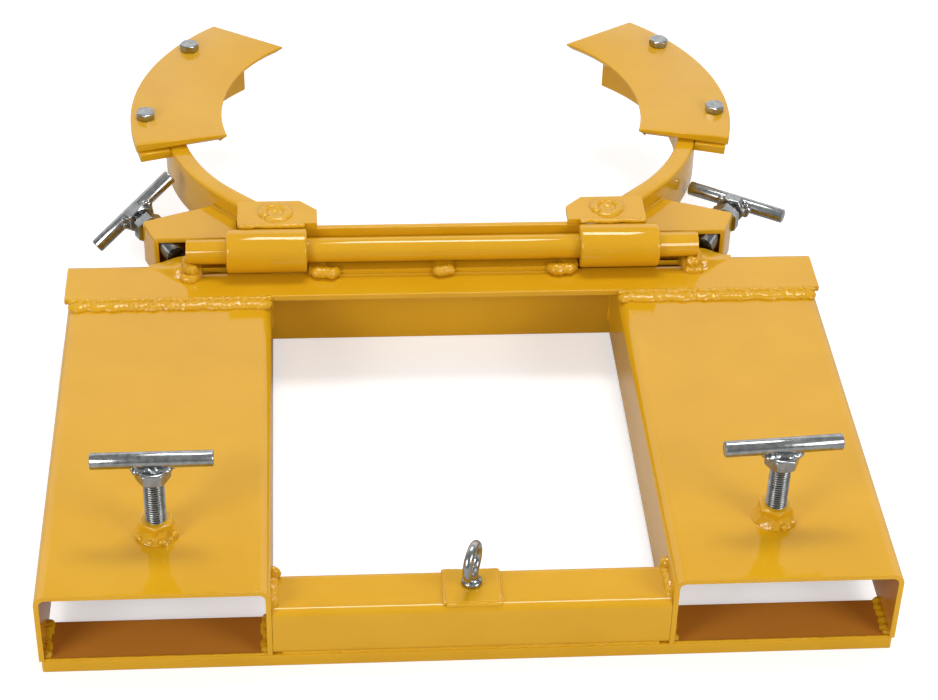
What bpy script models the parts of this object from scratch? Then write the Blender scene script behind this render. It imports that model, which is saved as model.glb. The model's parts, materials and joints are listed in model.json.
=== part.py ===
# Fork-mounted drum lifter: a welded carrier frame with two fork pockets, and a jaw head that swings on
# a hinge shaft along the frame's far edge. Origin: on the floor, under the middle of the whole length.
# X points right, Y points away from the truck towards the drum, Z points up. Lengths are drawn from the
# frame's near end and moved back by half the overall length at the end.
import math

import bpy
import bmesh
from mathutils import Matrix, Vector

INCH = 0.0254
GAP = 0.0003
CUT_PAST = 1.0 * INCH
SIDES = (("left", -1), ("right", 1))

# Fork pockets and floor strap
FRAME_WIDTH = 29.8 * INCH
POCKET_WIDTH = 8.0 * INCH
POCKET_HEIGHT = 3.0 * INCH
POCKET_WALL = 0.1875 * INCH
POCKET_CORNER = 0.42 * INCH
STRAP_THICK = 0.5 * INCH
STRAP_DEPTH = 2.0 * INCH
STRAP_INSET = 0.08 * INCH

# Near cross tube
TUBE_SIZE = 2.0 * INCH
TUBE_WALL = 0.1875 * INCH
TUBE_CORNER = 0.28 * INCH

# Far cross angle, bent from plate: top leg on the pockets, face leg across their far ends to the floor
ANGLE_FACE_Y = 19.2 * INCH
ANGLE_TOP_LEG = 2.45 * INCH
ANGLE_THICK = 0.25 * INCH
ANGLE_BEND = 0.42 * INCH
ANGLE_OVERHANG = 0.1 * INCH
NOTCH_DEPTH = 0.85 * INCH
NOTCH_SIDE = 0.98 * INCH

# Hinge shaft, its seats and the sleeves that turn on it
SHAFT_RADIUS = 0.5 * INCH
SHAFT_LENGTH = 20.5 * INCH
SHAFT_FROM_FACE = 0.6 * INCH
SEAT_HEIGHT = 0.375 * INCH
SEAT_DEPTH = 1.0 * INCH
SEAT_RECESS = 0.13 * INCH
SEAT_LAND = 0.62 * INCH
SADDLE_LENGTH = 2.0 * INCH
SADDLE_FLAT = 0.95 * INCH
SADDLE_TOE = 0.1 * INCH
SADDLE_EDGE = 0.03 * INCH
SHAFT_EDGE = 0.04 * INCH
SLEEVE_RADIUS = 0.875 * INCH
SLEEVE_LENGTH = 3.2 * INCH
SLEEVE_START = 5.45 * INCH
SLEEVE_PLAY = 0.0005
SLEEVE_EDGE = 0.1 * INCH

# Pivot plates, back plate and pivot pins of the jaw head
PLATE_THICK = 0.25 * INCH
PLATE_INNER = 5.03 * INCH
PLATE_LENGTH = 3.18 * INCH
PLATE_REACH = 2.26 * INCH
PLATE_CHAMFER = 0.68 * INCH
BACK_THICK = 0.25 * INCH
BACK_SHELF = 0.42 * INCH
PIN_X = 6.7 * INCH
PIN_FROM_SHAFT = 1.4 * INCH
PIN_RADIUS = 0.25 * INCH
PIN_HEAD_RADIUS = 0.4 * INCH
PIN_HEAD_RISE = 0.04 * INCH
PIN_HEAD_EDGE = 0.04 * INCH
PIN_FOOT = 0.06 * INCH
PIN_PLAY = 0.0005

# Jaw arms: a band rolled to an arc with a straight lead to the pin, and an outer flange with a bolted pad
BAND_HEIGHT = 2.0 * INCH
BAND_INNER = 7.68 * INCH
BAND_THICK = 0.75 * INCH
BAND_END_ANGLE = math.radians(48.0)
ARC_X = 2.97 * INCH
ARC_Y = 27.7 * INCH
EYE_RADIUS = 0.45 * INCH
FLANGE_WIDTH = 1.3 * INCH
FLANGE_START = math.radians(-16.8)
FLANGE_THICK = 0.375 * INCH
PAD_INNER = 7.07 * INCH
PAD_INNER_X = 1.9 * INCH
PAD_OUTER = 9.85 * INCH
PAD_THICK = 0.375 * INCH
PAD_START = math.radians(-15.6)
PAD_END_OUTER = math.radians(48.8)
PAD_END_INNER = math.radians(50.8)
PAD_CHAMFER = 0.25 * INCH
PAD_CHAMFER_PAST = 0.02 * INCH
BOLT_RADIUS = 0.25 * INCH
BOLT_CIRCLE = 9.2 * INCH
BOLT_ANGLES = (math.radians(-2.7), math.radians(35.2))
BOLT_HEAD = 0.75 * INCH
BOLT_HEAD_THICK = 0.3 * INCH
BOLT_NUT_THICK = 0.42 * INCH
BOLT_TAIL = 0.15 * INCH
BOLT_PLAY = 0.0005
BOLT_EDGE = 0.02 * INCH

# Lever boxes on the arms, with a closing screw through each
SCREW_RADIUS = 0.375 * INCH
SCREW_PLAY = 0.0004
SCREW_NUT = 1.125 * INCH
SCREW_HEAD_THICK = 0.5 * INCH
SCREW_EDGE = 0.05 * INCH
HEAD_EDGE = 0.03 * INCH
BAR_RADIUS = 0.29 * INCH
BAR_LENGTH = 4.2 * INCH
LEVER_SCREW_ANGLE = math.radians(60.5)
LEVER_BOX_ANGLE = math.radians(68.0)
LEVER_SCREW_Z = 3.95 * INCH
LEVER_BAR_X = 12.55 * INCH
LEVER_NUT_THICK = 0.5 * INCH
LEVER_HEAD_GAP = 0.38 * INCH
LEVER_HEIGHT = 1.24 * INCH
LEVER_WALL = 0.17 * INCH
LEVER_CORNER = 0.44 * INCH
LEVER_CLEAR = 0.47 * INCH
LEVER_INNER_X = 8.25 * INCH
LEVER_CUT_X = 10.05 * INCH
LEVER_TIP_CLEAR = 0.02 * INCH
LEVER_TO_BAR = 1.69 * INCH
LEVER_DEPTH = 1.758 * INCH
LEVER_EDGE = 0.14 * INCH
LEVER_BAR_TURN = {"left": math.radians(-33.0), "right": math.radians(-2.0)}

# Fork clamp screws
CLAMP_X = 10.85 * INCH
CLAMP_Y = 3.2 * INCH
CLAMP_NUT_THICK = 0.64 * INCH
CLAMP_TIP_DROP = 0.25 * INCH
CLAMP_HEAD_Z = 5.95 * INCH
CLAMP_HEAD_TURN = 0.2
CLAMP_BAR_TURN = {"left": math.radians(0.5), "right": math.radians(4.0)}

# Eye bolt on the near cross tube
EYE_PAD_SIZE = 1.9 * INCH
EYE_PAD_THICK = 0.125 * INCH
EYE_PAD_DEPTH = 1.7 * INCH
EYE_PAD_EDGE = 0.04 * INCH
EYE_Y = 1.1 * INCH
EYE_RING_RADIUS = 0.6 * INCH
EYE_WIRE_RADIUS = 0.16 * INCH
EYE_COLLAR_RADIUS = 0.36 * INCH
EYE_COLLAR_HEIGHT = 0.3 * INCH
EYE_TURN = math.radians(68.0)

# Levels and lines worked out from the sizes above
POCKET_BASE = STRAP_THICK + GAP
POCKET_TOP = STRAP_THICK + POCKET_HEIGHT
ANGLE_TOP = POCKET_TOP + GAP + ANGLE_THICK
SHAFT_Y = ANGLE_FACE_Y - SHAFT_FROM_FACE
SHAFT_Z = ANGLE_TOP + GAP + SEAT_HEIGHT + GAP + SHAFT_RADIUS
TOP_PLATE_Z = SHAFT_Z + SLEEVE_RADIUS - PLATE_THICK
PLATE_NEAR = SHAFT_Y + math.sqrt(SLEEVE_RADIUS ** 2 - (SLEEVE_RADIUS - PLATE_THICK) ** 2) + GAP
PIN_Y = SHAFT_Y + PIN_FROM_SHAFT
BAND_TOP = TOP_PLATE_Z - 2 * GAP
BAND_BASE = BAND_TOP - BAND_HEIGHT
BAND_MIDDLE = BAND_INNER + BAND_THICK / 2
BAND_OUTER = BAND_INNER + BAND_THICK
PIN_DISTANCE = math.hypot(PIN_X - ARC_X, PIN_Y - ARC_Y)
PIN_ANGLE = math.atan2(PIN_Y - ARC_Y, PIN_X - ARC_X)
LEAD_ANGLE = PIN_ANGLE + math.acos(BAND_MIDDLE / PIN_DISTANCE)
LOW_PLATE_Z = BAND_BASE - 2 * GAP - PLATE_THICK
BACK_Y = ANGLE_FACE_Y + GAP
BACK_END = BACK_Y + BACK_THICK
SLEEVE_END = SLEEVE_START + SLEEVE_LENGTH
NOTCH_START = SLEEVE_START - 2 * GAP
NOTCH_END = SLEEVE_END + NOTCH_SIDE
LEVER_BASE = LEVER_SCREW_Z - LEVER_HEIGHT / 2
LEVER_NEAR_Y = ANGLE_FACE_Y + LEVER_CLEAR
SCREW_AXIS = Vector((-math.cos(LEVER_SCREW_ANGLE), -math.sin(LEVER_SCREW_ANGLE), 0))
LEVER_BAR_Y = LEVER_NEAR_Y - (LEVER_TO_BAR + LEVER_DEPTH) * SCREW_AXIS.y
LENGTH = ARC_Y + PAD_OUTER * math.sin(PAD_END_OUTER)

ENAMEL = ("golden_enamel", (0.80, 0.40, 0.030), 0.28, 0.0)
ZINC = ("zinc_plate", (0.62, 0.63, 0.64), 0.32, 1.0)


def clear_scene():
    for item in list(bpy.data.objects):
        bpy.data.objects.remove(item, do_unlink=True)


def new_collection(name):
    group = bpy.data.collections.new(name)
    bpy.context.scene.collection.children.link(group)
    return group


def material(finish):
    name, colour, roughness, metallic = finish
    found = bpy.data.materials.get(name)
    if found:
        return found
    made = bpy.data.materials.new(name)
    made.use_nodes = True
    shader = made.node_tree.nodes["Principled BSDF"]
    shader.inputs["Base Color"].default_value = (*colour, 1.0)
    shader.inputs["Roughness"].default_value = roughness
    shader.inputs["Metallic"].default_value = metallic
    return made


def put_in(item, group):
    for holder in list(item.users_collection):
        holder.objects.unlink(item)
    group.objects.link(item)


def part(item, name, finish):
    item.name = name
    item.data.name = name
    item.data.materials.clear()
    item.data.materials.append(material(finish))
    put_in(item, PARTS)
    return item


def cutter(item, name):
    item.name = name
    item.hide_render = True
    item.display_type = "WIRE"
    put_in(item, CUTTERS)
    return item


def boolean(item, tool, operation="DIFFERENCE"):
    step = item.modifiers.new(operation.lower(), "BOOLEAN")
    step.operation = operation
    step.solver = "EXACT"
    step.object = tool
    return item


def bevel(item, width, segments=2, angle=math.radians(40)):
    step = item.modifiers.new("edges", "BEVEL")
    step.width = width
    step.segments = segments
    step.limit_method = "ANGLE"
    step.angle_limit = angle
    return item


def smooth(item):
    item.data.shade_smooth()
    item.data.set_sharp_from_angle(angle=math.radians(35))
    return item


def apply_scale(item):
    item.data.transform(Matrix.Diagonal((*item.scale, 1.0)))
    item.scale = (1, 1, 1)
    return item


def box(low, high):
    """A cube primitive stretched between two corners."""
    low = Vector(low)
    high = Vector(high)
    bpy.ops.mesh.primitive_cube_add(size=1, location=(low + high) / 2)
    item = bpy.context.object
    item.scale = high - low
    return apply_scale(item)


def cylinder(radius, start, end, sides=40):
    """A cylinder primitive between two points on its axis."""
    start = Vector(start)
    end = Vector(end)
    along = end - start
    bpy.ops.mesh.primitive_cylinder_add(vertices=sides, radius=radius, depth=along.length)
    item = bpy.context.object
    item.location = (start + end) / 2
    item.rotation_euler = along.to_track_quat("Z", "Y").to_euler()
    return smooth(item)


def hexagon(across_flats, start, end, turn=0.0):
    """A hexagonal prism between two points, with its corners turned about its axis."""
    item = cylinder(across_flats / math.sqrt(3), start, end, 6)
    item.data.transform(Matrix.Rotation(turn, 4, "Z"))
    item.data.shade_flat()
    return item


def arc(centre, radius, start, end, steps):
    return [
        (centre[0] + radius * math.cos(start + (end - start) * k / steps),
         centre[1] + radius * math.sin(start + (end - start) * k / steps))
        for k in range(steps + 1)
    ]


def outline_solid(outline, thickness, frame):
    """A flat closed outline, filled and extruded to its thickness, then set in place by a matrix."""
    curve = bpy.data.curves.new("outline", "CURVE")
    curve.dimensions = "2D"
    curve.fill_mode = "BOTH"
    curve.extrude = thickness / 2
    spline = curve.splines.new("POLY")
    spline.points.add(len(outline) - 1)
    for point, place in zip(spline.points, outline):
        point.co = (place[0], place[1], 0, 1)
    spline.use_cyclic_u = True
    drawn = bpy.data.objects.new("outline", curve)
    bpy.context.scene.collection.objects.link(drawn)
    drawn.matrix_world = frame
    bpy.context.view_layer.update()
    mesh = bpy.data.meshes.new_from_object(drawn.evaluated_get(bpy.context.evaluated_depsgraph_get()))
    shape = bmesh.new()
    shape.from_mesh(mesh)
    bmesh.ops.remove_doubles(shape, verts=shape.verts, dist=1e-6)
    bmesh.ops.recalc_face_normals(shape, faces=shape.faces)
    shape.to_mesh(mesh)
    shape.free()
    item = bpy.data.objects.new("outline", mesh)
    bpy.context.scene.collection.objects.link(item)
    item.matrix_world = frame
    bpy.data.objects.remove(drawn, do_unlink=True)
    bpy.data.curves.remove(curve)
    return smooth(item)


def lying(outline, base, top):
    """An outline drawn in plan (X, Y), from one level up to another."""
    return outline_solid(outline, top - base, Matrix.Translation((0, 0, (base + top) / 2)))


def facing_y(outline, start, end):
    """An outline drawn in elevation (X, Z), extruded from one Y to another."""
    turn = Matrix.Rotation(math.pi / 2, 4, "X")
    return outline_solid(outline, end - start, Matrix.Translation((0, (start + end) / 2, 0)) @ turn)


def facing_x(outline, start, end):
    """An outline drawn in side view (Y, Z), extruded from one X to another."""
    turn = Matrix(((0, 0, 1, 0), (1, 0, 0, 0), (0, 1, 0, 0), (0, 0, 0, 1)))
    return outline_solid(outline, end - start, Matrix.Translation(((start + end) / 2, 0, 0)) @ turn)


def mirrored(outline, side):
    return [(side * x, y) for x, y in outline]


def at_side(side, x, y, z):
    return Vector((side * x, y, z))


def round_bore(item, name, radius, start, end, sides=32):
    return boolean(item, cutter(cylinder(radius, start, end, sides), name))


def empty(name, place):
    marker = bpy.data.objects.new(name, None)
    marker.location = place
    marker.empty_display_size = INCH
    PARTS.objects.link(marker)
    return marker


def hang(children, parent):
    bpy.context.view_layer.update()
    for child in children:
        place = child.matrix_world.copy()
        child.parent = parent
        child.matrix_parent_inverse = parent.matrix_world.inverted()
        child.matrix_world = place


def fork_pocket(label, side):
    """An inverted U channel with rounded upper corners, open underneath."""
    outer = FRAME_WIDTH / 2
    inner = outer - POCKET_WIDTH
    wall = POCKET_WALL
    bend = POCKET_CORNER
    bend_in = bend - wall
    right, up, left = 0.0, math.pi / 2, math.pi
    outline = [(outer, POCKET_BASE)]
    outline += arc((outer - bend, POCKET_TOP - bend), bend, right, up, 6)
    outline += arc((inner + bend, POCKET_TOP - bend), bend, up, left, 6)
    outline += [(inner, POCKET_BASE), (inner + wall, POCKET_BASE)]
    outline += arc((inner + bend, POCKET_TOP - bend), bend_in, left, up, 6)
    outline += arc((outer - bend, POCKET_TOP - bend), bend_in, up, right, 6)
    outline += [(outer - wall, POCKET_BASE)]
    far_end = ANGLE_FACE_Y - ANGLE_BEND - GAP
    item = part(facing_y(mirrored(outline, side), 0, far_end), label + "_fork_pocket", ENAMEL)
    top = at_side(side, CLAMP_X, CLAMP_Y, POCKET_TOP + wall)
    bottom = top - Vector((0, 0, 3 * wall))
    return round_bore(item, label + "_pocket_screw_hole", SCREW_RADIUS + SCREW_PLAY, bottom, top)


def floor_strap():
    half = FRAME_WIDTH / 2 - STRAP_INSET
    return part(box((-half, 0, 0), (half, STRAP_DEPTH, STRAP_THICK)), "floor_strap", ENAMEL)


def rounded_square(size, corner, steps):
    half = size / 2
    centres = ((1, 1), (-1, 1), (-1, -1), (1, -1))
    outline = []
    for turn, (across, up) in enumerate(centres):
        centre = (across * (half - corner), up * (half - corner))
        outline += arc(centre, corner, turn * math.pi / 2, (turn + 1) * math.pi / 2, steps)
    return outline


def rear_cross_tube():
    """A square tube between the pockets, standing on the floor strap at the near end."""
    reach = FRAME_WIDTH / 2 - POCKET_WIDTH - GAP
    middle = Matrix.Translation((0, TUBE_SIZE / 2, STRAP_THICK + GAP + TUBE_SIZE / 2))
    turn = Matrix(((0, 0, 1, 0), (1, 0, 0, 0), (0, 1, 0, 0), (0, 0, 0, 1)))
    item = part(outline_solid(rounded_square(TUBE_SIZE, TUBE_CORNER, 5), 2 * reach, middle @ turn),
                "rear_cross_tube", ENAMEL)
    hollow = outline_solid(rounded_square(TUBE_SIZE - 2 * TUBE_WALL, TUBE_CORNER - TUBE_WALL / 2, 3),
                           2 * reach + CUT_PAST, middle @ turn)
    return boolean(item, cutter(hollow, "cross_tube_hollow"))


def front_cross_angle():
    """A plate bent to an angle, lying on the pockets and closing their far ends, notched at the sleeves."""
    near = ANGLE_FACE_Y - ANGLE_TOP_LEG
    bend = (ANGLE_FACE_Y - ANGLE_BEND, ANGLE_TOP - ANGLE_BEND)
    inside = ANGLE_BEND - ANGLE_THICK
    outline = [(near, ANGLE_TOP - ANGLE_THICK), (near, ANGLE_TOP)]
    outline += arc(bend, ANGLE_BEND, math.pi / 2, 0, 8)
    outline += [(ANGLE_FACE_Y, 0), (ANGLE_FACE_Y - ANGLE_THICK, 0)]
    outline += arc(bend, inside, 0, math.pi / 2, 6)
    half = FRAME_WIDTH / 2 + ANGLE_OVERHANG
    item = part(facing_x(outline, -half, half), "front_cross_angle", ENAMEL)
    for label, side in SIDES:
        ends = sorted((side * NOTCH_START, side * NOTCH_END))
        notch = box((ends[0], ANGLE_FACE_Y - NOTCH_DEPTH, ANGLE_TOP - ANGLE_THICK),
                    (ends[1], ANGLE_FACE_Y + CUT_PAST, ANGLE_TOP + CUT_PAST))
        boolean(item, cutter(notch, label + "_sleeve_notch"))
    return item


def shaft_seat():
    """A flat bar between the notches with three lands, on which the shaft is welded."""
    half = NOTCH_START - 2 * GAP
    base = ANGLE_TOP + GAP
    top = base + SEAT_HEIGHT
    low = top - SEAT_RECESS
    land = SEAT_LAND / 2
    slope = SEAT_RECESS
    outline = [(-half, base), (half, base), (half, top), (half - 2 * land, top),
               (half - 2 * land - slope, low), (land + slope, low), (land, top), (-land, top),
               (-land - slope, low), (-half + 2 * land + slope, low), (-half + 2 * land, top), (-half, top)]
    near = SHAFT_Y - SEAT_DEPTH / 2
    return part(facing_y(outline, near, near + SEAT_DEPTH), "shaft_seat", ENAMEL)


def shaft_saddle(label, side):
    """A block under the shaft's end, sloped at its outer end; the closing screw bears on its far face."""
    start = NOTCH_END + 2 * GAP
    end = start + SADDLE_LENGTH
    base = ANGLE_TOP + GAP
    top = base + SEAT_HEIGHT
    outline = [(start, base), (end, base), (end, base + SADDLE_TOE), (start + SADDLE_FLAT, top),
               (start, top)]
    near = SHAFT_Y - SEAT_DEPTH / 2
    item = facing_y(mirrored(outline, side), near, near + SEAT_DEPTH)
    return part(bevel(item, SADDLE_EDGE), label + "_shaft_saddle", ENAMEL)


def hinge_shaft():
    half = SHAFT_LENGTH / 2
    item = cylinder(SHAFT_RADIUS, (-half, SHAFT_Y, SHAFT_Z), (half, SHAFT_Y, SHAFT_Z), 40)
    return part(bevel(item, SHAFT_EDGE), "hinge_shaft", ENAMEL)


def hinge_sleeve(label, side):
    start = at_side(side, SLEEVE_START, SHAFT_Y, SHAFT_Z)
    end = at_side(side, SLEEVE_END, SHAFT_Y, SHAFT_Z)
    item = bevel(cylinder(SLEEVE_RADIUS, start, end, 44), SLEEVE_EDGE, 3)
    part(item, label + "_hinge_sleeve", ENAMEL)
    over = Vector((side * CUT_PAST, 0, 0))
    return round_bore(item, label + "_sleeve_bore", SHAFT_RADIUS + SLEEVE_PLAY, start - over, end + over, 40)


def pivot_plate_outline():
    near = PLATE_NEAR
    far = SHAFT_Y + PLATE_REACH
    inner = PLATE_INNER
    outer = PLATE_INNER + PLATE_LENGTH
    return [(inner, near), (outer, near), (outer, far), (inner + PLATE_CHAMFER, far),
            (inner, far - PLATE_CHAMFER)]


def top_pivot_plate(label, side):
    item = lying(mirrored(pivot_plate_outline(), side), TOP_PLATE_Z, TOP_PLATE_Z + PLATE_THICK)
    part(item, label + "_top_pivot_plate", ENAMEL)
    low = at_side(side, PIN_X, PIN_Y, TOP_PLATE_Z - CUT_PAST)
    high = at_side(side, PIN_X, PIN_Y, TOP_PLATE_Z + PLATE_THICK + CUT_PAST)
    return round_bore(item, label + "_top_plate_hole", PIN_HEAD_RADIUS + PIN_PLAY, low, high)


def bottom_pivot_plate(label, side):
    """The lower plate starts behind the frame's face, under the back plate."""
    outline = [(x, max(y, BACK_Y)) for x, y in pivot_plate_outline()]
    item = lying(mirrored(outline, side), LOW_PLATE_Z, LOW_PLATE_Z + PLATE_THICK)
    part(item, label + "_bottom_pivot_plate", ENAMEL)
    low = at_side(side, PIN_X, PIN_Y, LOW_PLATE_Z - CUT_PAST)
    high = at_side(side, PIN_X, PIN_Y, LOW_PLATE_Z + PLATE_THICK + CUT_PAST)
    return round_bore(item, label + "_bottom_plate_hole", PIN_RADIUS + PIN_PLAY, low, high)


def head_back_plate():
    """A plate behind the frame's face that ties both hinge points and stops the head at level."""
    outer = PLATE_INNER + PLATE_LENGTH
    inner = PLATE_INNER - 2 * GAP
    base = LOW_PLATE_Z + PLATE_THICK + GAP
    top = TOP_PLATE_Z
    outline = [(-outer, base), (outer, base), (outer, base + BACK_SHELF), (inner, base + BACK_SHELF),
               (inner, top), (-inner, top), (-inner, base + BACK_SHELF), (-outer, base + BACK_SHELF)]
    return part(facing_y(outline, BACK_Y, BACK_END), "head_back_plate", ENAMEL)


def pivot_pin(label, side):
    """A turned pin: a head set in the top plate, over a shank through the arm's eye and the lower plate."""
    head_top = TOP_PLATE_Z + PLATE_THICK + PIN_HEAD_RISE
    head_low = TOP_PLATE_Z + GAP
    foot = LOW_PLATE_Z - PIN_FOOT
    edge = PIN_HEAD_EDGE
    profile = [(0, head_top), (PIN_HEAD_RADIUS - edge, head_top), (PIN_HEAD_RADIUS, head_top - edge),
               (PIN_HEAD_RADIUS, head_low), (PIN_RADIUS, head_low), (PIN_RADIUS, foot), (0, foot)]
    return part(turned(profile, at_side(side, PIN_X, PIN_Y, 0), 32), label + "_pivot_pin", ENAMEL)


def turned(profile, place, steps):
    """A profile at +X, listed from top to bottom, screwed round the vertical axis."""
    mesh = bpy.data.meshes.new("turned")
    mesh.from_pydata([(r, 0, z) for r, z in profile], [(k, k + 1) for k in range(len(profile) - 1)], [])
    item = bpy.data.objects.new("turned", mesh)
    bpy.context.scene.collection.objects.link(item)
    item.location = place
    turn = item.modifiers.new("turn", "SCREW")
    turn.steps = steps
    turn.render_steps = steps
    turn.use_merge_vertices = True
    turn.merge_threshold = 0.00001
    turn.use_smooth_shade = True
    return item


def ring_sector(inner, outer, start, end, steps):
    centre = (ARC_X, ARC_Y)
    return arc(centre, outer, start, end, steps) + arc(centre, inner, end, start, steps)


def beside_pin(offset):
    """A point on the pin's line across the band, offset outwards from the band's middle."""
    return PIN_X + offset * math.cos(LEAD_ANGLE), PIN_Y + offset * math.sin(LEAD_ANGLE)


def arc_point(side, radius, angle, z):
    return at_side(side, ARC_X + radius * math.cos(angle), ARC_Y + radius * math.sin(angle), z)


def jaw_band(label, side):
    """A rectangular bar on edge: a straight lead from the pin's eye runs into an arc round the drum."""
    outline = ring_sector(BAND_INNER, BAND_OUTER, LEAD_ANGLE, BAND_END_ANGLE, 30)
    outline += [beside_pin(-BAND_THICK / 2), beside_pin(BAND_THICK / 2)]
    item = lying(mirrored(outline, side), BAND_BASE, BAND_TOP)
    part(item, label + "_jaw_band", ENAMEL)
    low = at_side(side, PIN_X, PIN_Y, BAND_BASE)
    high = at_side(side, PIN_X, PIN_Y, BAND_TOP)
    over = Vector((0, 0, CUT_PAST))
    boolean(item, cutter(cylinder(EYE_RADIUS, low, high, 32), label + "_eye_round"), "UNION")
    round_bore(item, label + "_eye_bore", PIN_RADIUS + PIN_PLAY, low - over, high + over)
    return item


def pad_flange(label, side):
    inner = BAND_OUTER + GAP
    outline = ring_sector(inner, inner + FLANGE_WIDTH, FLANGE_START, BAND_END_ANGLE, 24)
    item = lying(mirrored(outline, side), BAND_TOP - FLANGE_THICK, BAND_TOP)
    part(item, label + "_pad_flange", ENAMEL)
    return bolt_holes(item, label + "_flange", side, BAND_TOP - FLANGE_THICK, BAND_TOP)


def bolt_holes(item, name, side, low, high):
    for number, angle in enumerate(BOLT_ANGLES, 1):
        start = arc_point(side, BOLT_CIRCLE, angle, low - CUT_PAST)
        end = arc_point(side, BOLT_CIRCLE, angle, high + CUT_PAST)
        round_bore(item, f"{name}_bolt_hole_{number}", BOLT_RADIUS + BOLT_PLAY, start, end, 16)
    return item


def drum_pad(label, side):
    """A flame-cut plate bolted on the flange; its inner edge is chamfered underneath."""
    low = BAND_TOP + GAP
    high = low + PAD_THICK
    outline = arc((ARC_X, ARC_Y), PAD_OUTER, PAD_START, PAD_END_OUTER, 28)
    outline += arc((PAD_INNER_X, ARC_Y), PAD_INNER, PAD_END_INNER, PAD_START, 28)
    item = lying(mirrored(outline, side), low, high)
    part(item, label + "_drum_pad", ENAMEL)
    rim = PAD_CHAMFER_PAST
    profile = [(0, low + PAD_CHAMFER), (PAD_INNER, low + PAD_CHAMFER),
               (PAD_INNER + PAD_CHAMFER + rim, low - rim), (0, low - rim)]
    cone = turned(profile, at_side(side, PAD_INNER_X, ARC_Y, 0), 96)
    boolean(item, cutter(cone, label + "_pad_chamfer"))
    return bolt_holes(item, label + "_pad", side, low, high)


def pad_bolt(label, side, number, angle):
    """A hexagon bolt: a head on the pad and a shank through pad, flange and nut."""
    top = BAND_TOP + GAP + PAD_THICK + GAP
    tail = BAND_TOP - FLANGE_THICK - BOLT_NUT_THICK - BOLT_TAIL
    middle = top + BOLT_HEAD_THICK / 2
    head = hexagon(BOLT_HEAD, arc_point(side, BOLT_CIRCLE, angle, top),
                   arc_point(side, BOLT_CIRCLE, angle, top + BOLT_HEAD_THICK), angle)
    part(bevel(head, BOLT_EDGE, 1), f"{label}_pad_bolt_{number}", ZINC)
    shank = cylinder(BOLT_RADIUS, arc_point(side, BOLT_CIRCLE, angle, tail),
                     arc_point(side, BOLT_CIRCLE, angle, middle), 16)
    return boolean(head, cutter(shank, f"{label}_bolt_shank_{number}"), "UNION")


def pad_nut(label, side, number, angle):
    high = BAND_TOP - FLANGE_THICK - GAP
    low = high - BOLT_NUT_THICK
    nut = hexagon(BOLT_HEAD, arc_point(side, BOLT_CIRCLE, angle, low),
                  arc_point(side, BOLT_CIRCLE, angle, high), -angle)
    part(nut, f"{label}_pad_nut_{number}", ZINC)
    return round_bore(nut, f"{label}_nut_bore_{number}", BOLT_RADIUS + BOLT_PLAY,
                      arc_point(side, BOLT_CIRCLE, angle, low - CUT_PAST),
                      arc_point(side, BOLT_CIRCLE, angle, high + CUT_PAST), 16)


def lever_box(label, side):
    """A box at the arm's rear, open towards the frame, so the screw's tip can reach the saddle.

    Its outer wall runs a little more lengthways than the screw, and its far wall stands square to that.
    """
    inward = Vector((-math.cos(LEVER_BOX_ANGLE), -math.sin(LEVER_BOX_ANGLE)))
    across = Vector((-inward.y, inward.x))
    wall = Vector((LEVER_BAR_X, LEVER_BAR_Y)) + SCREW_AXIS.to_2d() * LEVER_TO_BAR
    corner_b = wall + across * LEVER_CORNER
    corner_a = corner_b + inward * ((LEVER_NEAR_Y - corner_b.y) / inward.y)
    corner_c = wall - across * ((wall.x - LEVER_INNER_X) / across.x)
    outline = [tuple(corner_a), tuple(corner_b), tuple(corner_c), (LEVER_INNER_X, LEVER_NEAR_Y)]
    item = lying(mirrored(outline, side), LEVER_BASE, LEVER_BASE + LEVER_HEIGHT)
    part(item, label + "_lever_box", ENAMEL)
    bevel(item, LEVER_EDGE, 2)
    seat = [beside_pin(-CUT_PAST), beside_pin(BAND_THICK / 2 + GAP)]
    seat += arc((ARC_X, ARC_Y), BAND_OUTER + GAP, LEAD_ANGLE, 0, 30) + [(ARC_X, ARC_Y)]
    sweep = lying(mirrored(seat, side), LEVER_BASE - CUT_PAST, LEVER_BASE + LEVER_HEIGHT + CUT_PAST)
    boolean(item, cutter(sweep, label + "_lever_band_seat"))
    in_b = wall + across * (LEVER_CORNER - LEVER_WALL) + inward * LEVER_WALL
    in_a = in_b + inward * ((LEVER_NEAR_Y - CUT_PAST - in_b.y) / inward.y)
    in_c = in_b - across * ((in_b.x - LEVER_CUT_X) / across.x)
    hollow = [tuple(in_a), tuple(in_b), tuple(in_c), (LEVER_CUT_X, LEVER_NEAR_Y - CUT_PAST)]
    inside = lying(mirrored(hollow, side), LEVER_BASE + LEVER_WALL, LEVER_BASE + LEVER_HEIGHT - LEVER_WALL)
    boolean(item, cutter(inside, label + "_lever_hollow"))
    start = screw_point(side, 0)
    end = screw_point(side, LEVER_TO_BAR + CUT_PAST)
    return round_bore(item, label + "_lever_screw_hole", SCREW_RADIUS + SCREW_PLAY, start, end)


def screw_point(side, along):
    """A point on the closing screw's axis, measured inward from the middle of its bar."""
    x = LEVER_BAR_X + SCREW_AXIS.x * along
    return at_side(side, x, LEVER_BAR_Y + SCREW_AXIS.y * along, LEVER_SCREW_Z)


def tip_reach():
    """How far the closing screw's tip lies from its bar, to bear on the saddle's far face."""
    tip_y = SHAFT_Y + SEAT_DEPTH / 2 - SCREW_RADIUS * SCREW_AXIS.x + LEVER_TIP_CLEAR
    return (tip_y - LEVER_BAR_Y) / SCREW_AXIS.y


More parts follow.
